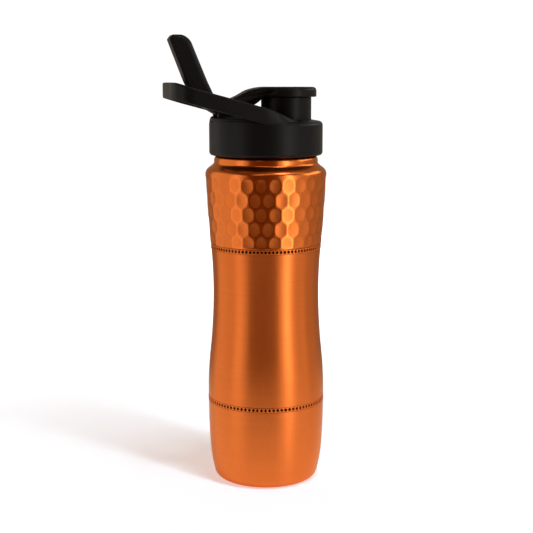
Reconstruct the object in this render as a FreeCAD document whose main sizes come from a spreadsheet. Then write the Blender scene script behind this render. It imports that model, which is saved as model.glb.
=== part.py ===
import FreeCAD, Part
import math
import os
import re
import Sketcher

# A copper bottle with a screw lid.  Millimetres, +Z up.  The origin is on the ground at the
# bottle's axis.  The lid's carry loop and hinge point to -X, its drinking spout to +X.

doc = FreeCAD.newDocument("CopperBottle")
size = doc.addObject("Spreadsheet::Sheet", "Size")

DIMENSIONS = {
    # sheet copper
    "wall": 0.8,
    # base: foot ring, heel, flank
    "foot_in_r": 26.6, "foot_r": 27.8, "heel_r": 32.5, "heel_z": 4.6, "heel_round": 5.2,
    "flank_r": 35.0, "flank_z": 20.0, "flank_round": 95.0, "belly_round": 450.0,
    "disc_r": 27.6, "disc_rise": 3.4, "disc_flat_r": 24.0, "disc_foot_r": 26.2,
    "disc_lean": 0.5,
    # lower seam, where the base's lip slides up inside the waist section
    "low_seam_z": 49.3, "seam_tall": 3.2, "belly_r": 36.0, "low_lip_r": 35.23, "lip_tall": 4.0,
    "lip_ease": 0.6, "low_hoop_r": 36.15, "hoop_edge": 0.25,
    # waist section
    "bulge_round": 250.0, "turn_r": 34.58, "turn_z": 81.4, "waist_r": 32.53, "waist_z": 119.5,
    "waist_low_round": 354.0, "waist_top_round": 278.0, "waist_end_r": 33.69,
    "joggle_tall": 2.0, "joggle_in": 0.1,
    # upper seam, where the waist section's lip slides up inside the shoulder section
    "top_seam_z": 144.9, "top_lip_r": 33.35, "top_hoop_r": 33.95,
    # shoulder section
    "chest_r": 34.15, "chest_round": 1000.0, "chest_run": 6.0, "chest_step": 0.25,
    "brow_r": 36.75, "brow_z": 188.2, "brow_tall": 1.4,
    "shoulder_r": 37.0, "shoulder_z": 190.6, "shoulder_round": 4.6,
    "slope_top_r": 35.5, "slope_top_z": 194.0, "slope_under": 0.4,
    "slope_foot_r": 32.1, "slope_foot_z": 197.2,
    "nape_r": 31.65, "nape_z": 198.2, "nape_round": 1.2, "brim_r": 30.2, "brim_z": 202.0,
    "brim_round": 4.5,
    # neck and thread
    "mouth_r": 27.0, "neck_r": 29.2, "neck_foot_z": 195.5, "flange_r": 30.6, "rim_z": 218.5,
    "rim_bevel": 0.6, "pitch": 4.0, "thread_tall": 5.0, "thread_depth": 1.0, "thread_base": 1.8,
    "thread_crest": 0.9, "thread_sunk": 0.4, "outer_thread_z": 208.5, "inner_thread_z": 206.5,
    # lid: liner, gasket, cap
    "liner_r": 31.9, "liner_bore_r": 30.5, "liner_foot_z": 203.2, "roof_z": 220.5,
    "gasket_in_r": 27.2, "gasket_r": 30.3,
    "cap_r": 34.55, "cap_foot_z": 202.0, "cap_foot_round": 2.1, "cap_edge_z": 219.8,
    "cap_edge_r": 33.4, "cap_edge_top_z": 221.9, "cap_edge_round": 2.4,
    "deck_r": 28.0, "deck_z": 224.4,
    "spout_x": 12.55, "spout_r": 15.3, "spout_bore_r": 12.0, "spout_z": 237.0, "spout_sunk": 1.0,
    # carry loop: a strap with level arms in plan, rising towards its end
    "loop_half": 34.5, "loop_reach": 60.5, "loop_corner": 12.0, "strap": 3.5,
    "loop_low_z": 219.75, "loop_tall": 9.55, "loop_rise": 0.27, "band_spare": 5.0,
    # hinge
    "hinge_x": -27.0, "hinge_z": 229.5, "barrel_r": 3.8, "pin_r": 1.25, "pin_play": 0.05,
    "ear_gap": 0.3, "ear_thick": 3.5, "ear_r": 4.0, "ear_foot_long": 5.0,
    "ear_heel_x": -32.6, "ear_heel_z": 223.7, "ear_neck_z": 227.4,
    # flip cover: lid disc, arm and thumb lever in one moulding
    "lever_wide": 14.5, "cover_r": 18.4, "cover_z": 243.0,
    # ... under the arm
    "arm_start": 1.0, "throat_x": -6.2, "throat_z": 234.3, "throat_round": 30.0,
    "dip_x": -14.5, "dip_z": 229.6, "barrel_flat": 3.0,
    # ... heel, back, tip and front of the lever
    "hock_x": -38.0, "hock_z": 230.2, "hip_x": -44.2, "hip_z": 235.0,
    "tip_z": 273.5, "tip_back_x": -59.1, "tip_back_flat": 2.0, "tip_back_drop": 2.2,
    "tip_front_x": -52.5, "tip_front_out": 5.2, "tip_front_drop": 5.6, "tip_round": 9.0,
    "lever_back_x": -49.3, "lever_front_x": -36.3, "lever_mid_z": 246.0,
    # ... crook between lever and arm, and the arm's top
    "crook_back_x": -32.0, "crook_back_z": 236.6, "crook_round": 4.5,
    "crook_front_x": -25.0, "crook_front_z": 234.2, "arm_low_x": -17.0, "arm_low_z": 237.0,
    "arm_high_x": -11.4, "arm_high_z": 240.5, "arm_round": 48.0, "arm_end_x": 4.0,
    # silicone seal in the cover
    "seal_r": 14.4, "seal_thick": 1.5, "plug_top_r": 11.7, "plug_end_r": 10.9, "plug_tall": 3.0,
}

for row, (alias, value) in enumerate(DIMENSIONS.items(), start=1):
    size.set(f"A{row}", alias.replace("_", " "))
    size.set(f"B{row}", str(value))
    size.setAlias(f"B{row}", alias)
doc.recompute()


NEARLY_ZERO = 1e-9


def bound(formula):
    """The formula with each dimension's name pointing at its cell of the sheet."""
    return re.sub(r"[a-z_]{2,}", lambda found: "Size." + found.group(), str(formula))


def number(formula):
    return float(size.evalExpression(bound(formula)))


def origin_plane(body, role):
    return [part for part in body.Origin.OriginFeatures if part.Role == role][0]


def origin_sketch(body, name, role):
    sketch = body.newObject("Sketcher::SketchObject", name)
    sketch.AttachmentSupport = (origin_plane(body, role), [""])
    sketch.MapMode = "FlatFace"
    return sketch


def hold_point(sketch, geometry, end, formulas):
    """Fix one end point of an edge at two formulas measured from the sketch's origin."""
    for kind, axis, formula in (("DistanceX", -2, formulas[0]), ("DistanceY", -1, formulas[1])):
        if abs(number(formula)) < NEARLY_ZERO:
            sketch.addConstraint(Sketcher.Constraint("PointOnObject", geometry, end, axis))
            continue
        datum = Sketcher.Constraint(kind, -1, 1, geometry, end, number(formula))
        index = sketch.addConstraint(datum)
        sketch.setExpression(f"Constraints[{index}]", bound(formula))


def arc_between(start, end, radius, side):
    """The short arc from start to end; side 1 bulges to the right of travel, -1 to the left."""
    chord = end - start
    middle = (start + end) * 0.5
    right = FreeCAD.Vector(chord.y, -chord.x, 0).normalize()
    depth = math.sqrt(radius ** 2 - (chord.Length / 2) ** 2)
    centre = middle - right * depth * side
    first, last = (start, end) if side > 0 else (end, start)
    angles = [math.atan2(spot.y - centre.y, spot.x - centre.x) for spot in (first, last)]
    circle = Part.Circle(centre, FreeCAD.Vector(0, 0, 1), radius)
    return Part.ArcOfCircle(circle, angles[0], angles[1])


def draw_outline(sketch, corners):
    """Close a chain of edges through the corners.  A corner is (x, y), and (x, y, radius, side)
    where the edge that leaves it is an arc."""
    spots = [FreeCAD.Vector(number(corner[0]), number(corner[1]), 0) for corner in corners]
    edges = []
    for index, corner in enumerate(corners):
        start, end = spots[index], spots[(index + 1) % len(spots)]
        if len(corner) == 2:
            edges.append((sketch.addGeometry(Part.LineSegment(start, end)), 1, 2))
            continue
        side = corner[3]
        geometry = sketch.addGeometry(arc_between(start, end, number(corner[2]), side))
        edges.append((geometry, 1, 2) if side > 0 else (geometry, 2, 1))
        turn = sketch.addConstraint(Sketcher.Constraint("Radius", geometry, number(corner[2])))
        sketch.setExpression(f"Constraints[{turn}]", bound(corner[2]))
    for index, (geometry, head, tail) in enumerate(edges):
        following = edges[(index + 1) % len(edges)]
        join = Sketcher.Constraint("Coincident", geometry, tail, following[0], following[1])
        sketch.addConstraint(join)
        hold_point(sketch, geometry, head, corners[index][:2])
    doc.recompute()


def draw_circle(sketch, x_formula, y_formula, radius_formula):
    centre = FreeCAD.Vector(number(x_formula), number(y_formula), 0)
    circle = Part.Circle(centre, FreeCAD.Vector(0, 0, 1), number(radius_formula))
    geometry = sketch.addGeometry(circle)
    hold_point(sketch, geometry, 3, (x_formula, y_formula))
    turn = sketch.addConstraint(Sketcher.Constraint("Radius", geometry, number(radius_formula)))
    sketch.setExpression(f"Constraints[{turn}]", bound(radius_formula))


def new_body(name):
    body = doc.addObject("PartDesign::Body", name)
    body.Label = name
    return body


def revolve(body, name, corners):
    """Turn an outline in the XZ plane about the Z axis."""
    sketch = origin_sketch(body, name + "_outline", "XZ_Plane")
    draw_outline(sketch, corners)
    feature = body.newObject("PartDesign::Revolution", name)
    feature.Profile = sketch
    feature.ReferenceAxis = (sketch, ["V_Axis"])
    feature.Angle = 360
    doc.recompute()
    return feature


def pad_across(body, name, width_formula, corners=None, circle=None, cut=False):
    """Pad or pocket an XZ outline or circle, half its width to each side of the XZ plane."""
    sketch = origin_sketch(body, name + "_outline", "XZ_Plane")
    if corners:
        draw_outline(sketch, corners)
    else:
        draw_circle(sketch, *circle)
    feature = body.newObject("PartDesign::Pocket" if cut else "PartDesign::Pad", name)
    feature.Profile = sketch
    feature.Midplane = True
    feature.setExpression("Length", bound(width_formula))
    doc.recompute()
    return feature


def pad_up(body, name, low_formula, tall_formula, draw, cut=False):
    """Pad or pocket what draw(sketch) puts on a level plane, upwards from low to low + tall."""
    sketch = origin_sketch(body, name + "_outline", "XY_Plane")
    sketch.setExpression("AttachmentOffset.Base.z", bound(low_formula))
    draw(sketch)
    feature = body.newObject("PartDesign::Pocket" if cut else "PartDesign::Pad", name)
    feature.Profile = sketch
    feature.Reversed = cut
    feature.setExpression("Length", bound(tall_formula))
    doc.recompute()
    return feature


def thread_ridge(body, name, root_formula, crest_formula, start_formula):
    """Wind a right-hand ridge about Z, from a trapezoid with its base sunk into the wall."""
    corners = [
        (root_formula, f"{start_formula} - thread_base / 2"),
        (crest_formula, f"{start_formula} - thread_crest / 2"),
        (crest_formula, f"{start_formula} + thread_crest / 2"),
        (root_formula, f"{start_formula} + thread_base / 2"),
    ]
    sketch = origin_sketch(body, name + "_outline", "XZ_Plane")
    draw_outline(sketch, corners)
    feature = body.newObject("PartDesign::AdditiveHelix", name)
    feature.Profile = sketch
    feature.ReferenceAxis = (sketch, ["V_Axis"])
    feature.Mode = 0
    feature.setExpression("Pitch", bound("pitch"))
    feature.setExpression("Height", bound("thread_tall"))
    doc.recompute()
    return feature


# ---- copper body -----------------------------------------------------------------------------

def make_base_disc():
    """The dished plate that closes the bottom, resting on the base's inward flange."""
    body = new_body("base_disc")
    revolve(body, "dished_plate", [
        (0, "disc_rise"), ("disc_flat_r", "disc_rise"), ("disc_foot_r", "wall"),
        ("disc_r", "wall"), ("disc_r", "2 * wall"), ("disc_foot_r + disc_lean", "2 * wall"),
        ("disc_flat_r + disc_lean", "disc_rise + wall"), (0, "disc_rise + wall"),
    ])


def make_base_shell():
    """Foot ring, rounded heel, flank, and the lip that goes up into the waist section."""
    body = new_body("base_shell")
    revolve(body, "base_wall", [
        ("foot_in_r", 0), ("foot_r", 0, "heel_round", 1),
        ("heel_r", "heel_z", "flank_round", 1), ("flank_r", "flank_z", "belly_round", 1),
        ("belly_r", "low_seam_z"), ("low_lip_r", "low_seam_z"),
        ("low_lip_r", "low_seam_z + seam_tall + lip_tall"),
        ("low_lip_r - wall", "low_seam_z + seam_tall + lip_tall"),
        ("low_lip_r - wall", "low_seam_z"),
        ("belly_r - wall", "low_seam_z - joggle_tall", "belly_round", -1),
        ("flank_r - wall", "flank_z", "flank_round", -1),
        ("heel_r - wall", "heel_z", "heel_round - wall", -1), ("disc_r", "wall"),
        ("foot_in_r", "wall"),
    ])


def make_bead_hoop(name, lip, outer, low):
    """The decorative hoop that fills the channel over a seam."""
    body = new_body(name)
    high = f"{low} + seam_tall"
    revolve(body, name + "_band", [
        (lip, low), (f"{outer} - hoop_edge", low), (outer, f"{low} + hoop_edge"),
        (outer, f"{high} - hoop_edge"), (f"{outer} - hoop_edge", high), (lip, high),
    ])


def make_waist_shell():
    """The long section that narrows to the waist, with its lip at the top."""
    body = new_body("waist_shell")
    foot = "low_seam_z + seam_tall"
    tip = "top_seam_z + seam_tall + lip_tall - lip_ease"
    revolve(body, "waist_wall", [
        ("low_lip_r", foot), ("belly_r", foot, "bulge_round", 1),
        ("turn_r", "turn_z", "waist_low_round", -1), ("waist_r", "waist_z", "waist_top_round", -1),
        ("waist_end_r", "top_seam_z"), ("top_lip_r", "top_seam_z"), ("top_lip_r", tip),
        ("top_lip_r - wall", tip), ("top_lip_r - wall", "top_seam_z"),
        ("waist_end_r - wall - joggle_in", "top_seam_z - joggle_tall", "waist_top_round", 1),
        ("waist_r - wall", "waist_z", "waist_low_round", 1),
        ("turn_r - wall", "turn_z", "bulge_round", -1),
        ("low_lip_r", f"{foot} + lip_tall + lip_ease"),
    ])


def make_shoulder_shell():
    """The wide section from the upper seam to the neck, closed in over the shoulder."""
    body = new_body("shoulder_shell")
    foot = "top_seam_z + seam_tall"
    revolve(body, "shoulder_wall", [
        ("top_lip_r", foot), ("chest_r", foot, "chest_round", 1), ("brow_r", "brow_z"),
        ("shoulder_r", "brow_z + brow_tall"), ("shoulder_r", "shoulder_z", "shoulder_round", 1),
        ("slope_top_r", "slope_top_z"), ("slope_foot_r", "slope_foot_z", "nape_round", -1),
        ("nape_r", "nape_z", "brim_round", 1), ("brim_r", "brim_z"), ("neck_r", "brim_z"),
        ("neck_r", "brim_z - wall"), ("nape_r - wall", "nape_z"),
        ("slope_foot_r - wall", "slope_foot_z"), ("slope_top_r - wall", "slope_top_z - slope_under"),
        ("shoulder_r - wall", "shoulder_z"),
        ("brow_r - wall", "brow_z", "chest_round", -1),
        ("top_lip_r + chest_step", f"{foot} + chest_run"),
        ("top_lip_r", f"{foot} + lip_tall"),
    ])


def make_neck_collar():
    """The threaded mouth, fixed inside the brim of the shoulder section."""
    body = new_body("neck_collar")
    revolve(body, "collar_wall", [
        ("mouth_r", "neck_foot_z"), ("flange_r", "neck_foot_z"),
        ("flange_r", "neck_foot_z + wall"), ("neck_r", "neck_foot_z + 2 * wall"),
        ("neck_r", "rim_z - rim_bevel"), ("neck_r - rim_bevel", "rim_z"),
        ("mouth_r + rim_bevel", "rim_z"), ("mouth_r", "rim_z - rim_bevel"),
    ])
    thread_ridge(body, "outer_thread", "neck_r - thread_sunk", "neck_r + thread_depth",
                 "outer_thread_z")


# ---- lid -------------------------------------------------------------------------------------

def make_thread_liner():
    """The threaded ring inside the cap."""
    body = new_body("thread_liner")
    revolve(body, "liner_wall", [
        ("liner_bore_r", "liner_foot_z"), ("liner_r", "liner_foot_z"), ("liner_r", "roof_z"),
        ("liner_bore_r", "roof_z"),
    ])
    thread_ridge(body, "inner_thread", "liner_bore_r + thread_sunk",
                 "liner_bore_r - thread_depth", "inner_thread_z")


def make_lid_gasket():
    """The flat ring between the mouth's rim and the cap's roof."""
    body = new_body("lid_gasket")
    revolve(body, "gasket_ring", [
        ("gasket_in_r", "rim_z"), ("gasket_r", "rim_z"), ("gasket_r", "roof_z"),
        ("gasket_in_r", "roof_z"),
    ])


def cap_corners():
    """The cap without its spout: skirt, rounded edge, sloping shoulder and deck."""
    return [
        ("liner_r", "cap_foot_z"), ("cap_r - cap_foot_round", "cap_foot_z", "cap_foot_round", 1),
        ("cap_r", "cap_foot_z + cap_foot_round"), ("cap_r", "cap_edge_z", "cap_edge_round", 1),
        ("cap_edge_r", "cap_edge_top_z"), ("deck_r", "deck_z"), (0, "deck_z"), (0, "roof_z"),
        ("liner_r", "roof_z"),
    ]


def loop_corners(inset):
    """The carry loop in plan, inset from its outer face."""
    half = f"loop_half - {inset}"
    end = f"{inset} - loop_reach"
    start = "loop_corner - loop_reach"
    corner = f"loop_corner - {inset}"
    return [
        (0, f"-({half})", half, 1), (half, 0, half, 1), (0, half), (start, half, corner, 1),
        (end, "loop_half - loop_corner"), (end, "loop_corner - loop_half", corner, 1),
        (start, f"-({half})"),
    ]


def make_carry_loop():
    """The strap: its ring in plan, where that meets a band that rises towards its end."""
    ring = new_body("loop_ring")

    def faces(sketch):
        draw_outline(sketch, loop_corners("0"))
        draw_outline(sketch, loop_corners("strap"))

    far, near = "-loop_reach - band_spare", "loop_half + band_spare"
    band_tall = f"loop_tall + loop_rise * ({near} - ({far}))"
    pad_up(ring, "ring_wall", f"loop_low_z - loop_rise * ({near})", band_tall, faces)
    band = new_body("loop_band")
    pad_across(band, "sloping_band", "2 * loop_half + 2 * band_spare", [
        (far, f"loop_low_z - loop_rise * ({far})"), (near, f"loop_low_z - loop_rise * ({near})"),
        (near, f"loop_low_z + loop_tall - loop_rise * ({near})"),
        (far, f"loop_low_z + loop_tall - loop_rise * ({far})"),
    ])
    loop = doc.addObject("Part::Common", "carry_loop")
    loop.Base = ring
    loop.Tool = band
    return loop


def make_hinge_ears():
    """Two ears that rise from the deck and hold the pin."""
    body = new_body("hinge_ears")
    foot = "cap_edge_top_z"
    pad_across(body, "ear_block", "lever_wide + 2 * ear_gap + 2 * ear_thick", [
        ("ear_heel_x", foot), ("hinge_x + ear_r + ear_foot_long", foot),
        ("hinge_x + ear_r", "hinge_z", "ear_r", 1), ("hinge_x", "hinge_z + ear_r", "ear_r", 1),
        ("hinge_x - ear_r", "hinge_z"), ("hinge_x - ear_r", "ear_neck_z"),
        ("ear_heel_x", "ear_heel_z"),
    ])
    pad_across(body, "ear_slot", "lever_wide + 2 * ear_gap", [
        ("hinge_x - 2 * ear_r", "deck_z"), ("hinge_x + 3 * ear_r", "deck_z"),
        ("hinge_x + 3 * ear_r", "hinge_z + 2 * ear_r"),
        ("hinge_x - 2 * ear_r", "hinge_z + 2 * ear_r"),
    ], cut=True)
    pad_across(body, "pin_hole", "2 * loop_half", circle=("hinge_x", "hinge_z", "pin_r"), cut=True)
    return body


def make_lid_cap():
    """Skirt, deck, spout, hinge ears and carry loop: one moulding."""
    turned = new_body("cap_turned")
    revolve(turned, "cap_wall", cap_corners())

    def spout(sketch):
        draw_circle(sketch, "spout_x", "0", "spout_r")

    pad_up(turned, "spout_wall", "deck_z - spout_sunk", "spout_z - deck_z + spout_sunk", spout)

    room = new_body("lid_room")
    revolve(room, "room_wall", [
        (0, "neck_foot_z"), ("liner_r", "neck_foot_z"), ("liner_r", "roof_z"), (0, "roof_z"),
    ])
    bore = doc.addObject("Part::Cylinder", "spout_bore")
    bore.setExpression("Radius", bound("spout_bore_r"))
    bore.setExpression("Height", bound("spout_z"))
    bore.setExpression("Placement.Base.x", bound("spout_x"))
    bore.setExpression("Placement.Base.z", bound("cap_foot_z"))

    moulding = doc.addObject("Part::MultiFuse", "cap_moulding")
    moulding.Shapes = [turned, make_carry_loop(), make_hinge_ears()]
    hollows = doc.addObject("Part::MultiFuse", "cap_hollows")
    hollows.Shapes = [room, bore]
    cap = doc.addObject("Part::Cut", "lid_cap")
    cap.Base = moulding
    cap.Tool = hollows
    cap.Refine = True
    cap.Label = "lid_cap"
    doc.recompute()


def make_hinge_pin():
    pin = doc.addObject("Part::Cylinder", "hinge_pin")
    pin.Label = "hinge_pin"
    long = "lever_wide + 2 * ear_gap + 2 * ear_thick"
    pin.setExpression("Radius", bound("pin_r"))
    pin.setExpression("Height", bound(long))
    across = FreeCAD.Rotation(FreeCAD.Vector(1, 0, 0), -90)
    pin.Placement = FreeCAD.Placement(FreeCAD.Vector(0, 0, 0), across)
    pin.setExpression("Placement.Base.x", bound("hinge_x"))
    pin.setExpression("Placement.Base.y", bound(f"-({long}) / 2"))
    pin.setExpression("Placement.Base.z", bound("hinge_z"))


def make_flip_cover():
    """Lid disc, arm, hinge barrel and thumb lever, turning as one on the pin."""
    body = new_body("flip_cover")
    barrel_low = "hinge_z - barrel_r"
    pad_across(body, "lever_and_arm", "lever_wide", [
        # under the arm, from the disc back to the barrel
        ("spout_x - spout_r - arm_start", "spout_z"), ("throat_x", "throat_z", "throat_round", -1),
        ("dip_x", "dip_z"), ("hinge_x + barrel_flat", barrel_low),
        ("hinge_x - barrel_flat", barrel_low),
        # heel of the lever, back face, tip and front face
        ("hock_x", "hock_z"), ("hip_x", "hip_z"), ("lever_back_x", "lever_mid_z"),
        ("tip_back_x", "tip_z - tip_back_drop"), ("tip_back_x + tip_back_flat", "tip_z"),
        ("tip_front_x", "tip_z", "tip_round", -1),
        ("tip_front_x + tip_front_out", "tip_z - tip_front_drop"),
        ("lever_front_x", "lever_mid_z"),
        # crook between the lever and the arm, then the arm's top
        ("crook_back_x", "crook_back_z", "crook_round", -1), ("crook_front_x", "crook_front_z"),
        ("arm_low_x", "arm_low_z"), ("arm_high_x", "arm_high_z", "arm_round", -1),
        ("arm_end_x", "cover_z"), ("spout_x", "cover_z"), ("spout_x", "spout_z"),
    ])

    def disc(sketch):
        draw_circle(sketch, "spout_x", "0", "cover_r")

    def recess(sketch):
        draw_circle(sketch, "spout_x", "0", "seal_r")

    pad_up(body, "lid_disc", "spout_z", "cover_z - spout_z", disc)
    pad_up(body, "seal_recess", "spout_z", "seal_thick", recess, cut=True)
    bore = ("hinge_x", "hinge_z", "pin_r + pin_play")
    pad_across(body, "barrel_bore", "2 * loop_half", circle=bore, cut=True)


def make_cover_seal():
    """The silicone disc under the cover, with a tapered plug for the spout."""
    seal = doc.addObject("Part::MultiFuse", "cover_seal")
    seal.Label = "cover_seal"
    flange = doc.addObject("Part::Cylinder", "seal_flange")
    flange.setExpression("Radius", bound("seal_r"))
    flange.setExpression("Height", bound("seal_thick"))
    plug = doc.addObject("Part::Cone", "seal_plug")
    plug.setExpression("Radius1", bound("plug_end_r"))
    plug.setExpression("Radius2", bound("plug_top_r"))
    plug.setExpression("Height", bound("plug_tall"))
    for piece, low in ((flange, "spout_z"), (plug, "spout_z - plug_tall")):
        piece.setExpression("Placement.Base.x", bound("spout_x"))
        piece.setExpression("Placement.Base.z", bound(low))
    seal.Shapes = [flange, plug]
    doc.recompute()


make_base_disc()
make_base_shell()
make_bead_hoop("lower_bead_hoop", "low_lip_r", "low_hoop_r", "low_seam_z")
make_waist_shell()
make_bead_hoop("upper_bead_hoop", "top_lip_r", "top_hoop_r", "top_seam_z")
make_shoulder_shell()
make_neck_collar()
make_thread_liner()
make_lid_gasket()
make_lid_cap()
make_hinge_pin()
make_flip_cover()
make_cover_seal()
doc.recompute()

NODES = [
    "base_disc", "base_shell", "lower_bead_hoop", "waist_shell", "upper_bead_hoop",
    "shoulder_shell", "neck_collar", "thread_liner", "lid_gasket", "lid_cap", "hinge_pin",
    "flip_cover", "cover_seal",
]

for item in doc.Objects:
    if "Invalid" in item.State or "Error" in item.State:
        raise RuntimeError(f"{item.Name} did not compute: {item.State}")

nodes = [doc.getObjectsByLabel(label)[0] for label in NODES]
for node in nodes:
    shape = node.Shape
    if shape.isNull() or not shape.isValid() or len(shape.Solids) != 1:
        raise RuntimeError(f"{node.Label} is not one valid solid")

os.makedirs("parts", exist_ok=True)
for node in nodes:
    node.Shape.exportStep(f"parts/{node.Label}.step")
    print(f"{node.Label:16s} {node.Shape.Volume:10.1f} mm3")
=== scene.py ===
import math
import random

import bmesh
import bpy
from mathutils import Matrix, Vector


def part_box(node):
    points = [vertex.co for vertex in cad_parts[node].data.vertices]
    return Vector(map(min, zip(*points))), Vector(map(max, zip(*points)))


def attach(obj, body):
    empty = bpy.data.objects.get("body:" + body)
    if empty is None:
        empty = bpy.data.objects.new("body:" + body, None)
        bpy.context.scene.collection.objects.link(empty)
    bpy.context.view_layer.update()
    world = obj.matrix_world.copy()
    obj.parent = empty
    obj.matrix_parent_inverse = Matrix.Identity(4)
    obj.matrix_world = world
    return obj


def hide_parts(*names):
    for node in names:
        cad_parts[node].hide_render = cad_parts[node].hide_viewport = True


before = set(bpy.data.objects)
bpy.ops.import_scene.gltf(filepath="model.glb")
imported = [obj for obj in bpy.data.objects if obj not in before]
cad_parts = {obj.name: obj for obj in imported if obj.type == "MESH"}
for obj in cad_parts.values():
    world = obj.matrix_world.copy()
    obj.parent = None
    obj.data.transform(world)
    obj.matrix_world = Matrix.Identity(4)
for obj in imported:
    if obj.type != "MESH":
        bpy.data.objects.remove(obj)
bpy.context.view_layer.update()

# The copper bottle's looks.  Outlines are in millimetres in the part's own frame, and are
# turned into metres where a mesh is made.
MM = 0.001


def node_box(name):
    """A CAD node's lowest and highest corners in millimetres."""
    low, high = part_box(name)
    return low / MM, high / MM


# ---- outlines --------------------------------------------------------------------------------

def arc(start, end, radius, side, step):
    """Points after start, up to end, on the short arc; side 1 bulges right of travel, -1 left."""
    start, end = Vector(start), Vector(end)
    chord = end - start
    right = Vector((chord.y, -chord.x)).normalized()
    depth = math.sqrt(max(radius ** 2 - (chord.length / 2) ** 2, 0))
    centre = (start + end) / 2 - right * depth * side
    first = math.atan2(start.y - centre.y, start.x - centre.x)
    last = math.atan2(end.y - centre.y, end.x - centre.x)
    sweep = (last - first + math.pi) % (2 * math.pi) - math.pi
    count = max(2, math.ceil(abs(sweep) * radius / step))
    angles = [first + sweep * k / count for k in range(1, count + 1)]
    return [(centre.x + radius * math.cos(a), centre.y + radius * math.sin(a)) for a in angles]


def outline(corners, step):
    """A closed line through the corners, with points no further apart than step.  A corner is
    (x, y), and (x, y, radius, side) where the edge that leaves it is an arc."""
    points = []
    for index, corner in enumerate(corners):
        start, end = corner[:2], corners[(index + 1) % len(corners)][:2]
        if len(corner) > 2:
            points += arc(start, end, corner[2], corner[3], step)
            continue
        length = (Vector(end) - Vector(start)).length
        count = max(1, math.ceil(length / step))
        points += [tuple(Vector(start).lerp(Vector(end), k / count)) for k in range(1, count + 1)]
    return points


def soften(points, passes):
    """Round a closed line's corners by averaging each point with its neighbours."""
    for _ in range(passes):
        following = points[1:] + points[:1]
        before = points[-1:] + points[:-1]
        points = [tuple((a[i] + 2 * b[i] + c[i]) / 4 for i in (0, 1))
                  for a, b, c in zip(before, points, following)]
    return points


def smooth_step(value, low, high):
    share = min(max((value - low) / (high - low), 0), 1)
    return share * share * (3 - 2 * share)


# ---- meshes ----------------------------------------------------------------------------------

SHARP = math.radians(38)


def mesh_object(name, vertices, faces, marks=None, mark_name="painted_shade"):
    """A mesh object from points in millimetres.  marks is a value from 0 to 1 for each point,
    which the copper's material reads as how much painted shade, dark and dull, it gets there;
    marks named struck say instead how hard struck it is there."""
    mesh = bpy.data.meshes.new(name)
    mesh.from_pydata([Vector(v) * MM for v in vertices], [], faces)
    if marks:
        mesh.attributes.new(mark_name, "FLOAT", "POINT").data.foreach_set("value", marks)
    made = bpy.data.objects.new(name, mesh)
    bpy.context.scene.collection.objects.link(made)
    return made


def tidy(made):
    """Merge doubled points, turn every face outwards and shade by angle."""
    shape = bmesh.new()
    shape.from_mesh(made.data)
    bmesh.ops.remove_doubles(shape, verts=shape.verts, dist=1e-6)
    bmesh.ops.recalc_face_normals(shape, faces=shape.faces)
    shape.to_mesh(made.data)
    shape.free()
    made.data.polygons.foreach_set("use_smooth", [True] * len(made.data.polygons))
    made.data.set_sharp_from_angle(angle=SHARP)
    return made


def spin(name, points, columns, press=None, mark_name="painted_shade"):
    """Turn a closed outline about the axis.  press(radius, height, angle) gives how far the
    surface is pressed in there and how marked it is; angle 0 faces -Y."""
    vertices, marks, faces = [], [], []
    rows = len(points)
    for column in range(columns):
        angle = 2 * math.pi * column / columns
        for radius, height in points:
            depth, mark = press(radius, height, angle) if press else (0, 0)
            reach = radius - depth
            vertices.append((reach * math.sin(angle), -reach * math.cos(angle), height))
            marks.append(mark)
        here, there = column * rows, (column + 1) % columns * rows
        for row in range(rows):
            up = (row + 1) % rows
            faces.append((here + row, there + row, there + up, here + up))
    return tidy(mesh_object(name, vertices, faces, marks if press else None, mark_name))


def ring_mesh(name, sections):
    """Join closed sections, each a list of as many points, into a closed ring."""
    size = len(sections[0])
    vertices = [point for section in sections for point in section]
    faces = []
    for index in range(len(sections)):
        here, there = index * size, (index + 1) % len(sections) * size
        for row in range(size):
            up = (row + 1) % size
            faces.append((here + row, there + row, there + up, here + up))
    return tidy(mesh_object(name, vertices, faces))


def join(base, *others, operation="UNION"):
    """Merge the others into base, or cut them out of it, and remove them."""
    for other in others:
        change = base.modifiers.new("join", "BOOLEAN")
        change.operation = operation
        change.solver = "EXACT"
        change.object = other
        sight = bpy.context.evaluated_depsgraph_get()
        merged = bpy.data.meshes.new_from_object(base.evaluated_get(sight))
        base.modifiers.clear()
        base.data = merged
        bpy.data.objects.remove(other)
    return tidy(base)


def fuse(base, other, voxel, passes):
    """Melt other into base on a fine grid, so that where they meet is a soft fillet."""
    shape = bmesh.new()
    for piece in (base, other):
        shape.from_mesh(piece.data)
    shape.to_mesh(base.data)
    shape.free()
    bpy.data.objects.remove(other)
    grid = base.modifiers.new("grid", "REMESH")
    grid.mode = "VOXEL"
    grid.voxel_size = voxel * MM
    calm = base.modifiers.new("calm", "SMOOTH")
    calm.factor = 0.5
    calm.iterations = passes
    sight = bpy.context.evaluated_depsgraph_get()
    melted = bpy.data.meshes.new_from_object(base.evaluated_get(sight))
    base.modifiers.clear()
    base.data = melted
    return tidy(base)


def place(piece, body, slot, material, *nodes):
    """Give a piece its body and its material, and hide the CAD nodes that it stands for."""
    piece.data.materials.clear()
    piece.data.materials.append(material)
    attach(piece, body)
    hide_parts(*nodes)


# ---- materials -------------------------------------------------------------------------------

def add(tree, kind, inputs=None, **settings):
    made = tree.nodes.new(kind)
    for name, value in settings.items():
        setattr(made, name, value)
    for name, value in (inputs or {}).items():
        if isinstance(value, bpy.types.NodeSocket):
            tree.links.new(value, made.inputs[name])
        else:
            made.inputs[name].default_value = value
    return made


def start_material(name):
    material = bpy.data.materials.new(name)
    material.use_nodes = True
    tree = material.node_tree
    tree.nodes.clear()
    return material, tree


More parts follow.
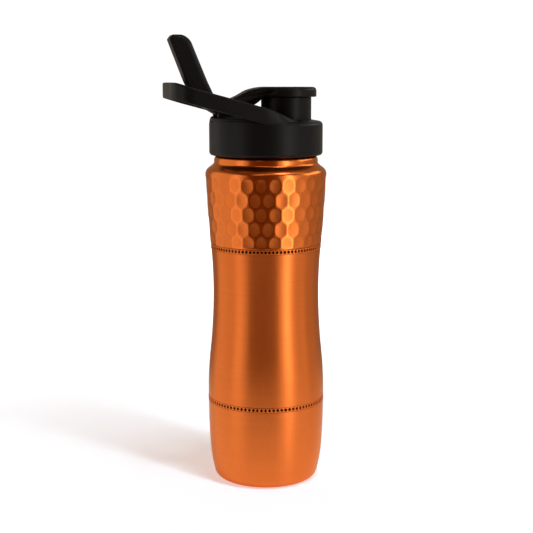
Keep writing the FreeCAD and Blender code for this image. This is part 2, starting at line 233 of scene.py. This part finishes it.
def noise(tree, scale, detail=2.0):
    """Noise from the object's own place; scale is how many grains a metre along X, Y and Z."""
    place_in = add(tree, "ShaderNodeTexCoord").outputs["Object"]
    spread = add(tree, "ShaderNodeMapping", {"Vector": place_in, "Scale": scale})
    grain = add(tree, "ShaderNodeTexNoise",
                {"Vector": spread.outputs["Vector"], "Scale": 1.0, "Detail": detail})
    return grain.outputs["Fac"]


def remap(tree, value, low, high):
    """Map noise around its middle to the range from low to high."""
    return add(tree, "ShaderNodeMapRange", {
        "Value": value, "From Min": 0.3, "From Max": 0.7, "To Min": low, "To Max": high,
    }).outputs["Result"]


def mix(tree, share, first, second):
    made = add(tree, "ShaderNodeMix", data_type="RGBA")
    for socket, value in (("Factor_Float", share), ("A_Color", first), ("B_Color", second)):
        target = next(s for s in made.inputs if s.identifier == socket)
        if isinstance(value, bpy.types.NodeSocket):
            tree.links.new(value, target)
        else:
            target.default_value = value
    return next(s for s in made.outputs if s.identifier == "Result_Color")


COPPER = (0.80, 0.195, 0.040, 1)
COPPER_DEEP = (0.74, 0.168, 0.031, 1)
# Painted shade: near black, painted into the bead rings' pits and grooves where shade falls.
PAINTED_SHADE = (0.02, 0.006, 0.003, 1)
EDGE_TINT = (0.95, 0.84, 0.68, 1)  # where the copper is seen at a grazing angle
BRUSH = (22, 22, 6500)  # grains a metre: long ones round the axis, fine ones along it
BRUSH_DEPTH = 0.06 * MM
BLOTCH = (28, 28, 14)
BLOTCH_SHARE, BLOTCH_ROUGHNESS = 0.35, (-0.02, 0.03)
PIT_ROUGHNESS, STRUCK_ROUGHNESS = 0.4, 0.13


def copper(name, roughness, anisotropy, brush_bump, streaks):
    """Copper with grain that runs round the axis and blotchy colour.  Points marked for painted
    shade are painted dark and made dull, and points marked "struck" are duller than the rest."""
    material, tree = start_material(name)
    grain = noise(tree, BRUSH, 4.0)
    blotch = noise(tree, BLOTCH, 3.0)
    streaked = mix(tree, remap(tree, grain, 0.0, streaks), COPPER, COPPER_DEEP)
    blotched = mix(tree, remap(tree, blotch, 0.0, BLOTCH_SHARE), streaked, COPPER_DEEP)
    pits = add(tree, "ShaderNodeAttribute", attribute_name="painted_shade").outputs["Fac"]
    struck = add(tree, "ShaderNodeAttribute", attribute_name="struck").outputs["Fac"]
    # Painted shade: points marked for it are painted dark here, and made duller below.
    coloured = mix(tree, pits, blotched, PAINTED_SHADE)
    brushed = remap(tree, grain, *roughness)
    worn = add(tree, "ShaderNodeMath", {0: brushed, 1: remap(tree, blotch, *BLOTCH_ROUGHNESS)},
               operation="ADD").outputs["Value"]
    pitted = add(tree, "ShaderNodeMath", {0: pits, 1: PIT_ROUGHNESS, 2: worn},
                 operation="MULTIPLY_ADD").outputs["Value"]
    hammered = add(tree, "ShaderNodeMath", {0: struck, 1: STRUCK_ROUGHNESS, 2: pitted},
                   operation="MULTIPLY_ADD").outputs["Value"]
    bump = add(tree, "ShaderNodeBump",
               {"Height": grain, "Strength": brush_bump, "Distance": BRUSH_DEPTH})
    around = add(tree, "ShaderNodeTangent", direction_type="RADIAL", axis="Z")
    surface = add(tree, "ShaderNodeBsdfPrincipled", {
        "Base Color": coloured, "Metallic": 1.0, "Roughness": hammered,
        "Specular Tint": EDGE_TINT, "Anisotropic": anisotropy, "Anisotropic Rotation": 0.25,
        "Tangent": around.outputs["Tangent"], "Normal": bump.outputs["Normal"],
    })
    add(tree, "ShaderNodeOutputMaterial", {"Surface": surface.outputs["BSDF"]})
    return material


CLOUD = (60,) * 3
GRAIN_STRENGTH = 0.35


def moulded(name, colour, roughness, shine, grain_scale, grain_depth, clouding):
    """Moulded plastic or silicone: a fine spark-eroded grain and faint clouding."""
    material, tree = start_material(name)
    fine = noise(tree, (grain_scale,) * 3, 3.0)
    cloud = noise(tree, CLOUD, 2.0)
    darker = tuple(c * clouding for c in colour[:3]) + (1,)
    shade = mix(tree, remap(tree, cloud, 0.0, 1.0), colour, darker)
    bump = add(tree, "ShaderNodeBump",
               {"Height": fine, "Strength": GRAIN_STRENGTH, "Distance": grain_depth})
    surface = add(tree, "ShaderNodeBsdfPrincipled", {
        "Base Color": shade, "Roughness": remap(tree, cloud, *roughness),
        "Specular IOR Level": shine, "Normal": bump.outputs["Normal"],
    })
    add(tree, "ShaderNodeOutputMaterial", {"Surface": surface.outputs["BSDF"]})
    return material


def ground_steel():
    """The hinge pin's ground steel, scratched round its own axis."""
    material, tree = start_material("ground_steel")
    grain = noise(tree, (9000, 40, 9000), 3.0)
    surface = add(tree, "ShaderNodeBsdfPrincipled", {
        "Base Color": (0.56, 0.55, 0.53, 1), "Metallic": 1.0,
        "Roughness": remap(tree, grain, 0.2, 0.4),
    })
    add(tree, "ShaderNodeOutputMaterial", {"Surface": surface.outputs["BSDF"]})
    return material


SATIN = copper("satin_copper", roughness=(0.34, 0.40), anisotropy=0.8, brush_bump=0.12,
               streaks=1.0)
POLISHED = copper("polished_copper", roughness=(0.20, 0.24), anisotropy=0.2, brush_bump=0.02,
                  streaks=0.3)
BLACK = moulded("black_plastic", colour=(0.0045, 0.004, 0.0037, 1), roughness=(0.34, 0.42),
                shine=0.16, grain_scale=2600, grain_depth=0.04 * MM, clouding=0.8)
SILICONE = moulded("silicone", colour=(0.62, 0.61, 0.57, 1), roughness=(0.45, 0.6),
                   shine=0.5, grain_scale=1800, grain_depth=0.03 * MM, clouding=0.92)
STEEL = ground_steel()


# ---- copper body -----------------------------------------------------------------------------

PITS_ROUND = 91


def make_hammered_shoulder():
    """The shoulder section: five staggered rows of hammered dimples under a polished neck."""
    foot = node_box("shoulder_shell")[0].z
    rim = node_box("shoulder_shell")[1].z
    wall = 0.8
    seam, chest, brow, brow_z, chest_round = 33.35, 34.15, 36.75, 188.2, 1000
    shoulder, shoulder_z, shoulder_round = 37.0, 190.6, 4.6
    slope_top, slope_foot, fillet = (35.3, 194.2), (32.4, 196.45), 2.0
    nape, nape_round, brim = (31.65, 198.0), 4.5, 30.2
    line = outline([
        (seam, foot), (chest, foot, chest_round, 1), (brow, brow_z), (shoulder, brow_z + 1.4),
        (shoulder, shoulder_z, shoulder_round, 1), slope_top, (*slope_foot, fillet, -1),
        (*nape, nape_round, 1), (brim, rim), (brim - 1, rim), (brim - 1, rim - wall),
        (nape[0] - wall, nape[1]), (slope_foot[0] - wall, slope_foot[1]),
        (slope_top[0] - wall, slope_top[1] - 0.4), (shoulder - wall, shoulder_z),
        (brow - wall, brow_z, chest_round, -1), (seam + 0.25, foot + 6), (seam, foot + 4),
    ], 0.55)

    rows, per_row, deep = 5, 28, 0.36
    top_row, row_gap, half_tall, half_wide = 185.9, 8.65, 5.1, 4.1
    turn = 2 * math.pi / per_row
    first = math.radians(-2.74)
    blend = 9.0  # how sharply a dimple gives way to its neighbour
    bowl_shape = 1.25  # 1 for a plain bowl with a sharp rim, and more for a softer rim
    band_foot, band_full_from = foot + 0.4, foot + 1.6
    band_full_to, band_top = brow_z + 1.2, brow_z + 2.8
    columns_per_dimple = 13
    hand = random.Random(11)
    blows = {(row, column): (hand.uniform(-0.25, 0.25), hand.uniform(-0.012, 0.012),
                             deep * hand.uniform(0.85, 1.12))
             for row in range(rows) for column in range(per_row)}

    def press(radius, height, angle):
        if radius < chest - wall / 2 or height > band_top or height < band_foot:
            return 0, 0
        near, weight = 0.0, 0.0
        for row in range(rows):
            row_z = top_row - row * row_gap
            if abs(height - row_z) > 1.9 * half_tall:
                continue
            start = first + row % 2 / 2 * turn
            nearest = round((angle - start) / turn)
            for column in (nearest - 1, nearest, nearest + 1):
                up, along, blow_deep = blows[row, column % per_row]
                rise = (height - row_z - up) / half_tall
                across = (angle - start - column * turn - along) * radius / half_wide
                share = math.exp(-blend * (rise * rise + across * across))
                near += share
                weight += share * blow_deep
        if near == 0:
            return 0, 0
        reach = -math.log(near) / blend
        fade = smooth_step(height, band_foot, band_full_from) * (
            1 - smooth_step(height, band_full_to, band_top))
        bowl = (1 - min(max(reach, 0), 1)) ** bowl_shape
        return weight / near * bowl * fade, fade * smooth_step(bowl, 0.05, 0.6)

    section = spin("hammered_shoulder", soften(line, 1), per_row * columns_per_dimple, press,
                   "struck")
    place(section, "bottle", "copper_polished", POLISHED, "shoulder_shell")


def make_bead_ring(name, node, pits):
    """A hoop with a row of punched oval pits, each in a raised rim, between two fine grooves."""
    low, high = node_box(node)
    middle, half = (low.z + high.z) / 2, (high.z - low.z) / 2
    outer = high.x
    inner, skin = outer - 0.8, outer - 0.3
    line = soften(outline([(inner, low.z), (outer, low.z), (outer, high.z), (inner, high.z)],
                          0.16), 2)
    half_wide, half_tall, deep = 0.76, 1.0, 0.4
    rim_out, rim_lift, groove_from, groove_deep = 1.45, 0.1, 0.82, 0.2
    columns_per_pit = 9

    def press(radius, height, angle):
        if radius < skin:
            return 0, 0
        turn = 2 * math.pi / pits
        aside = ((angle / turn + 0.5) % 1 - 0.5) * turn * radius
        reach = math.hypot(aside / half_wide, (height - middle) / half_tall)
        pit = 1 - smooth_step(reach, 0.68, 1.02)
        rim = smooth_step(reach, 0.95, 1.15) * (1 - smooth_step(reach, 1.2, rim_out))
        edge = smooth_step(abs(height - middle) / half, groove_from, 0.95)
        depth = rim_lift + deep * pit - rim_lift * rim + groove_deep * edge * (1 - pit)
        # The mark paints shade into each pit, and less of it into the fine grooves near the
        # hoop's edges.
        return depth, max(min(1, 1.4 * pit), 0.6 * edge)

    ring = spin(name, line, pits * columns_per_pit, press)
    place(ring, "bottle", "copper_satin", SATIN, node)


# ---- lid -------------------------------------------------------------------------------------

def stadium(reach, half, corner, step):
    """The loop's outer face in plan: (x, y, outward x, outward y) all the way round, starting
    at the -Y side where the front half circle begins."""
    stations = []

    def turn(centre, radius, start, stop):
        count = math.ceil(radius * abs(stop - start) / step)
        for k in range(count):
            a = start + (stop - start) * k / count
            way = (math.cos(a), math.sin(a))
            stations.append((centre[0] + radius * way[0], centre[1] + radius * way[1], *way))

    def run(start, stop, way):
        count = math.ceil((Vector(stop) - Vector(start)).length / step)
        for k in range(count):
            spot = Vector(start).lerp(Vector(stop), k / count)
            stations.append((spot.x, spot.y, *way))

    end = corner - reach
    quarter = math.pi / 2
    turn((0, 0), half, -quarter, quarter)
    run((0, half), (end, half), (0, 1))
    turn((end, half - corner), corner, quarter, 2 * quarter)
    run((-reach, half - corner), (-reach, corner - half), (-1, 0))
    turn((end, corner - half), corner, 2 * quarter, 3 * quarter)
    run((end, -half), (0, -half), (0, -1))
    return stations


def make_carry_loop():
    """The strap: level arms in plan that rise to the end, and lean into the cap's shoulder."""
    reach, half, corner = -node_box("lid_cap")[0].x, 34.5, 12.0
    thick, tall, rise, low_z = 3.5, 9.55, 0.27, 219.75
    lean_from, lean_to, lean_in, lean_shape, sink = -8.0, 14.0, 3.6, 1.3, 2.0
    bow = 0.9  # how far the end's two corners are drawn in from its middle
    sections = []
    face = outline([(0, 0), (thick, 0), (thick, tall), (0, tall)], 0.42)
    face = soften(face, 6)
    for x, y, out_x, out_y in stadium(reach, half, corner, 1.3):
        lean = smooth_step(x, lean_from, lean_to)
        x += bow * (y / half) ** 2 * smooth_step(-x, reach - 2 * corner, reach)
        foot = low_z - rise * x
        section = []
        for inward, up in face:
            height = foot + up * (1 - lean * sink / tall)
            shift = inward + lean * lean_in * (up / tall) ** lean_shape
            section.append((x - out_x * shift, y - out_y * shift, height))
        sections.append(section)
    return ring_mesh("loop_part", sections)


def slab(name, corners, half_wide, edge, step=0.5, flare=lambda x: 0):
    """An outline in the XZ plane padded to both sides of it, its rims rounded by edge(x, z).
    flare(x) is how much wider it is than half_wide on each side."""
    line = soften(outline(corners, step), 2)
    count = len(line)
    ways = []
    for index, point in enumerate(line):
        tangent = Vector(line[(index + 1) % count]) - Vector(line[index - 1])
        ways.append(Vector((-tangent.y, tangent.x)).normalized())
    area = sum(a[0] * b[1] - b[0] * a[1] for a, b in zip(line, line[1:] + line[:1]))
    if area < 0:
        ways = [-way for way in ways]
    turns = 7
    layers = []
    for side in (-1, 1):
        order = range(turns + 1) if side < 0 else range(turns, -1, -1)
        for k in order:
            angle = math.pi / 2 * k / turns
            layer = []
            for point, way in zip(line, ways):
                radius = edge(*point)
                inset = radius * (1 - math.sin(angle))
                across = half_wide + flare(point[0]) - radius * (1 - math.cos(angle))
                spot = Vector(point) + way * inset
                layer.append((spot.x, side * across, spot.y))
            layers.append(layer)
    vertices = [point for layer in layers for point in layer]
    faces = [tuple(range(count)), tuple(len(vertices) - count + k for k in range(count))[::-1]]
    for index in range(len(layers) - 1):
        here, there = index * count, (index + 1) * count
        for row in range(count):
            up = (row + 1) % count
            faces.append((here + row, here + up, there + up, there + row))
    return tidy(mesh_object(name, vertices, faces))


def drum(name, centre_x, radius, low, high, edge=0.4, columns=128):
    """A round post with softened rims, its axis upright."""
    line = outline([(0, low), (radius - edge, low), (radius, low + edge), (radius, high - edge),
                    (radius - edge, high), (0, high)], 1.2)
    post = spin(name, line, columns)
    for vertex in post.data.vertices:
        vertex.co.x += centre_x * MM
    return post


def rod(name, x, z, radius, half_long):
    """A round bar across the lid, for cutting the hinge's bore."""
    sides = 48
    ring = [(x + radius * math.cos(a), z + radius * math.sin(a))
            for a in (2 * math.pi * k / sides for k in range(sides))]
    vertices = [(px, side * half_long, pz) for side in (-1, 1) for px, pz in ring]
    faces = [tuple(range(sides)), tuple(range(2 * sides - 1, sides - 1, -1))]
    faces += [(k, (k + 1) % sides, sides + (k + 1) % sides, sides + k) for k in range(sides)]
    return tidy(mesh_object(name, vertices, faces))


SPOUT_X, SPOUT_R, SPOUT_BORE, SPOUT_Z = 12.55, 15.3, 12.0, 237.0
DECK_Z, ROOF_Z = 223.4, 220.5
HINGE_X, HINGE_Z = -27.0, 229.5
LEVER_HALF, EAR_GAP, EAR_THICK = 7.25, 0.3, 3.5


def make_cap():
    """Skirt, deck, spout, ears and loop in one moulding."""
    foot = node_box("lid_cap")[0].z
    inner, skirt, foot_round = 31.9, 34.55, 2.1
    straight_z, shoulder_z, shoulder_round = 216, 220.2, 2.6
    rim, rim_z, deck_r = 32.6, 222.6, 28.0
    line = outline([
        (inner, foot), (skirt - foot_round, foot, foot_round, 1), (skirt, foot + foot_round),
        (skirt, straight_z), (skirt, straight_z + 2), (skirt, shoulder_z, shoulder_round, 1),
        (rim, rim_z), (deck_r, DECK_Z), (0, DECK_Z), (0, ROOF_Z), (inner, ROOF_Z),
    ], 0.5)
    cap = spin("cap_moulding", line, 224)
    rim_lift, kept_low, full_rim, fullness = 2.5, 0.75, 34.1, 0.6
    for vertex in cap.data.vertices:
        spot = vertex.co / MM
        reach = math.hypot(spot.x, spot.y)
        if spot.z < straight_z or reach < inner - 6:
            continue
        between_ears = smooth_step(-spot.x, 24, 29) * (1 - smooth_step(abs(spot.y), 7.4, 9.3))
        hinge_side = smooth_step(-spot.x, -14, 18) - kept_low * between_ears
        lift = rim_lift * hinge_side * smooth_step(spot.z, straight_z, shoulder_z)
        fuller = 1.0
        if spot.z > shoulder_z and reach > rim - 1:
            fuller += (full_rim / reach - 1) * fullness * max(hinge_side, 0)
        vertex.co = (spot.x * fuller * MM, spot.y * fuller * MM, (spot.z + lift) * MM)
    ear_mid = LEVER_HALF + EAR_GAP + EAR_THICK / 2
    parts = [make_carry_loop(), drum("spout_part", SPOUT_X, SPOUT_R, DECK_Z - 1, SPOUT_Z)]
    for side in (-1, 1):
        ear = slab("ear_part", [
            (-31.0, 221.9), (HINGE_X + 9, 221.9), (HINGE_X + 4, HINGE_Z, 4, 1),
            (HINGE_X, HINGE_Z + 4, 4, 1), (HINGE_X - 4, HINGE_Z), (HINGE_X - 4, 227.4),
            (-31.0, 223.9),
        ], EAR_THICK / 2, lambda x, z: 0.45)
        for vertex in ear.data.vertices:
            vertex.co.y += side * ear_mid * MM
        parts.append(ear)
    parts.append(slab("sill_part", [
        (-33.2, 220.5), (-31.0, 220.5), (-31.0, 224.7), (-32.2, 224.7), (-33.2, 223.5),
    ], ear_mid, lambda x, z: 0.3))
    join(cap, *parts)
    join(cap, drum("bore_part", SPOUT_X, SPOUT_BORE, ROOF_Z - 5, SPOUT_Z + 5),
         rod("pin_bore", HINGE_X, HINGE_Z, 1.25, LEVER_HALF + EAR_GAP + EAR_THICK + 2),
         operation="DIFFERENCE")
    place(cap, "lid", "lid_plastic", BLACK, "lid_cap")


def make_flip_cover():
    """Cover disc, arm, barrel and thumb lever in one moulding."""
    tip_z = node_box("flip_cover")[1].z
    tip_back = node_box("flip_cover")[0].x
    cover_z, cover_r, cover_round = 243.0, 18.4, 2.2
    lever_root, lever_z, lever_lean = 238, 250, 0.42

    def edge(x, z):
        """Even along the arm.  On the lever it is rounder in front than behind."""
        lever = smooth_step(z, lever_root, lever_z)
        drift = lever_lean * (z - lever_z)
        front = smooth_step(x, -48 - drift, -42 - drift)
        return 1.5 + lever * (2.2 * front - 0.9)

    lever = slab("flip_cover_moulding", [
        (SPOUT_X - SPOUT_R - 1, SPOUT_Z), (-6.2, 234.3, 30, -1), (-14.5, 229.6),
        (HINGE_X + 3, HINGE_Z - 3.8), (HINGE_X - 3, HINGE_Z - 3.8), (-38, 230.2), (-44.2, 235),
        (-49.5, 246), (tip_back, tip_z - 2.6), (tip_back + 2, tip_z), (-51.6, tip_z, 9, -1),
        (-45.0, tip_z - 6.2), (-36.3, 246), (-32, 236.6, 4.5, -1), (-25, 234.6), (-17.8, 237.8),
        (-12, 240.9, 44, -1), (4, cover_z), (SPOUT_X, cover_z), (SPOUT_X, SPOUT_Z),
    ], LEVER_HALF, edge, flare=lambda x: 8.5 * smooth_step(x, -19, 5))
    disc_line = soften(outline([
        (0, SPOUT_Z), (cover_r, SPOUT_Z), (cover_r, cover_z - cover_round, cover_round, 1),
        (cover_r - cover_round, cover_z), (0, cover_z),
    ], 0.4), 1)
    disc = spin("disc_part", disc_line, 192)
    for vertex in disc.data.vertices:
        vertex.co.x += SPOUT_X * MM
    fuse(lever, disc, 0.34, 5)
    join(lever, drum("seal_seat", SPOUT_X, 14.4, SPOUT_Z - 1, SPOUT_Z + 1.5, 0.1),
         rod("barrel_bore", HINGE_X, HINGE_Z, 1.3, 30), operation="DIFFERENCE")
    place(lever, "cover", "lid_plastic", BLACK, "flip_cover")


def dress_cad_nodes():
    """Materials for the CAD nodes that stay as they are."""
    for name, material in {
        "base_disc": SATIN, "base_shell": SATIN, "waist_shell": SATIN, "neck_collar": POLISHED,
        "thread_liner": BLACK, "lid_gasket": SILICONE, "hinge_pin": STEEL,
        "cover_seal": SILICONE,
    }.items():
        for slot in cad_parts[name].material_slots:
            slot.material = material


# ---- studio ----------------------------------------------------------------------------------

LID_TURN = math.radians(-11.5)
CAMERA_SPOT, CAMERA_DIP = (-0.1402, -0.6909, 0.2466), math.radians(9.16)
CAMERA_LENS, CAMERA_SENSOR = 77.8, 36.0
WAIST = Vector((0, 0, 0.13))
SUN_COLOUR, SUN_SPREAD = (0.62, 0.84, 1.0), math.radians(6)

NEAR_WALL, FAR_WALL, WHITE = (0.125, 0.055, 0.002, 1), (0.33, 0.28, 0.23, 1), (1, 1, 1, 1)
FLOOR_HALF, FLOOR_FAR = 0.22, 1.4
FLOOR_PAPER, FLOOR_GLOW = (0.80, 0.79, 0.78, 1), (1, 0.90, 0.88, 1)
GLOW_NEAR, GLOW_BEYOND = (0.2, 0.54), (0.65, 1.0)  # how far from the bottle, and how strong

# Azimuth, elevation, distance, width, height and power of each lamp that the copper reflects.
SOFTBOXES = {
    "left_box": (-82, 0, 1.1, 2.1, 1.6, 6.3),
    "left_core": (-58, 0, 1.0, 0.32, 1.6, 0.8),
    "right_box": (46, 0, 1.3, 0.92, 1.6, 3.5),
    "right_core": (46, 0, 1.2, 0.28, 1.6, 3.4),
    "right_fill": (79, 0, 1.1, 0.55, 1.6, 1.3),
    "right_edge": (110, 0, 1.1, 0.60, 1.6, 0.35),
    "rim_box": (108, 27, 1.1, 0.9, 0.26, 1.6),
    "top_box": (36, 60, 1.1, 1.9, 0.3, 1.3),
    "top_core": (48, 60, 1.1, 0.34, 0.3, 1.2),
}

# Azimuth, elevation and strength of each lamp that lights the floor and casts the shadow.
SUNS = ((46, 44, 0.34), (48, 52, 0.34), (48, 60, 0.26), (46, 68, 0.26), (42, 74, 0.34),
        (34, 80, 0.60))


def make_camera():
    """Level with the lid, looking a little down, from -Y and a little towards the hinge."""
    data = bpy.data.cameras.new("camera")
    data.lens = CAMERA_LENS
    data.sensor_width = CAMERA_SENSOR
    camera = bpy.data.objects.new("camera", data)
    camera.location = CAMERA_SPOT
    camera.rotation_euler = (math.pi / 2 - CAMERA_DIP, 0, LID_TURN)
    bpy.context.scene.collection.objects.link(camera)
    bpy.context.scene.camera = camera


def hang(name, data, azimuth, elevation, distance=0):
    """A lamp facing the bottle's waist.  Azimuth 0 is the camera's side and 90 its right."""
    lamp = bpy.data.objects.new(name, data)
    turn, rise = math.radians(azimuth) + LID_TURN, math.radians(elevation)
    way = Vector((math.sin(turn) * math.cos(rise), -math.cos(turn) * math.cos(rise),
                  math.sin(rise)))
    lamp.location = WAIST + way * distance
    lamp.rotation_euler = way.to_track_quat("Z", "Y").to_euler()
    bpy.context.scene.collection.objects.link(lamp)
    return lamp


def make_lamps():
    """Softboxes that only reflections see, and suns that no reflection sees."""
    for name, (azimuth, elevation, distance, wide, tall, power) in SOFTBOXES.items():
        data = bpy.data.lights.new(name, "AREA")
        data.shape = "RECTANGLE"
        data.size, data.size_y = wide, tall
        data.energy = power
        lamp = hang(name, data, azimuth, elevation, distance)
        lamp.visible_camera = False
        lamp.visible_diffuse = False
    for index, (azimuth, elevation, strength) in enumerate(SUNS):
        name = f"key_{index}"
        data = bpy.data.lights.new(name, "SUN")
        data.energy = strength
        data.color = SUN_COLOUR
        data.angle = SUN_SPREAD
        hang(name, data, azimuth, elevation).visible_glossy = False


def make_room():
    """A white surround for the eye, and for reflections a dark side where the camera is."""
    world = bpy.data.worlds.new("studio")
    world.use_nodes = True
    tree = world.node_tree
    tree.nodes.clear()
    way = add(tree, "ShaderNodeTexCoord").outputs["Generated"]
    behind = (-math.sin(LID_TURN), math.cos(LID_TURN), 0)
    depth = add(tree, "ShaderNodeVectorMath", {0: way, 1: behind}, operation="DOT_PRODUCT")
    back = add(tree, "ShaderNodeMapRange", {
        "Value": depth.outputs["Value"], "From Min": -0.55, "From Max": 0.5,
        "To Min": 0.0, "To Max": 1.0,
    }, interpolation_type="SMOOTHSTEP").outputs["Result"]
    walls = mix(tree, back, NEAR_WALL, FAR_WALL)
    seen = add(tree, "ShaderNodeLightPath").outputs["Is Camera Ray"]
    room = add(tree, "ShaderNodeBackground", {"Color": walls, "Strength": 1.0})
    white = add(tree, "ShaderNodeBackground", {"Color": WHITE, "Strength": 1.05})
    both = add(tree, "ShaderNodeMixShader",
               {"Fac": seen, 1: room.outputs["Background"], 2: white.outputs["Background"]})
    add(tree, "ShaderNodeOutputWorld", {"Surface": both.outputs["Shader"]})
    bpy.context.scene.world = world


def pale_floor():
    """Pale matte paper, lit a little from within so that it fades into the white beyond."""
    material, tree = start_material("pale_floor")
    matte = add(tree, "ShaderNodeBsdfDiffuse", {"Color": FLOOR_PAPER})
    spot = add(tree, "ShaderNodeNewGeometry").outputs["Position"]
    away = add(tree, "ShaderNodeVectorMath", {0: spot}, operation="LENGTH")
    own = add(tree, "ShaderNodeMapRange", {
        "Value": away.outputs["Value"], "From Min": GLOW_NEAR[0], "From Max": GLOW_BEYOND[0],
        "To Min": GLOW_NEAR[1], "To Max": GLOW_BEYOND[1],
    }, interpolation_type="SMOOTHSTEP")
    glow = add(tree, "ShaderNodeEmission",
               {"Color": FLOOR_GLOW, "Strength": own.outputs["Result"]})
    both = add(tree, "ShaderNodeAddShader",
               {0: matte.outputs["BSDF"], 1: glow.outputs["Emission"]})
    add(tree, "ShaderNodeOutputMaterial", {"Surface": both.outputs["Shader"]})
    return material


def make_floor():
    """A plain floor: a near sheet that the copper reflects, in a wide one that it doesn't."""
    paper = pale_floor()
    near, far = FLOOR_HALF, FLOOR_FAR
    sheets = {
        "floor": [(-near, -near, near, near)],
        "floor_beyond": [(-far, -near, -near, far), (near, -near, far, far),
                         (-near, near, near, far), (-far, -far, far, -near)],
    }
    for name, patches in sheets.items():
        data = bpy.data.meshes.new(name)
        corners, faces = [], []
        for low_x, low_y, high_x, high_y in patches:
            first = len(corners)
            corners += [(low_x, low_y, 0), (high_x, low_y, 0),
                        (high_x, high_y, 0), (low_x, high_y, 0)]
            faces.append(tuple(range(first, first + 4)))
        data.from_pydata(corners, [], faces)
        data.materials.append(paper)
        floor = bpy.data.objects.new(name, data)
        floor.rotation_euler.z = LID_TURN
        floor.visible_glossy = floor.visible_shadow = name == "floor"
        bpy.context.scene.collection.objects.link(floor)


make_camera()
make_room()
make_floor()
make_lamps()

make_hammered_shoulder()
make_bead_ring("upper_bead_ring", "upper_bead_hoop", PITS_ROUND)
make_bead_ring("lower_bead_ring", "lower_bead_hoop", PITS_ROUND)
make_cap()
make_flip_cover()
dress_cad_nodes()

bpy.context.scene.view_settings.view_transform = "Standard"
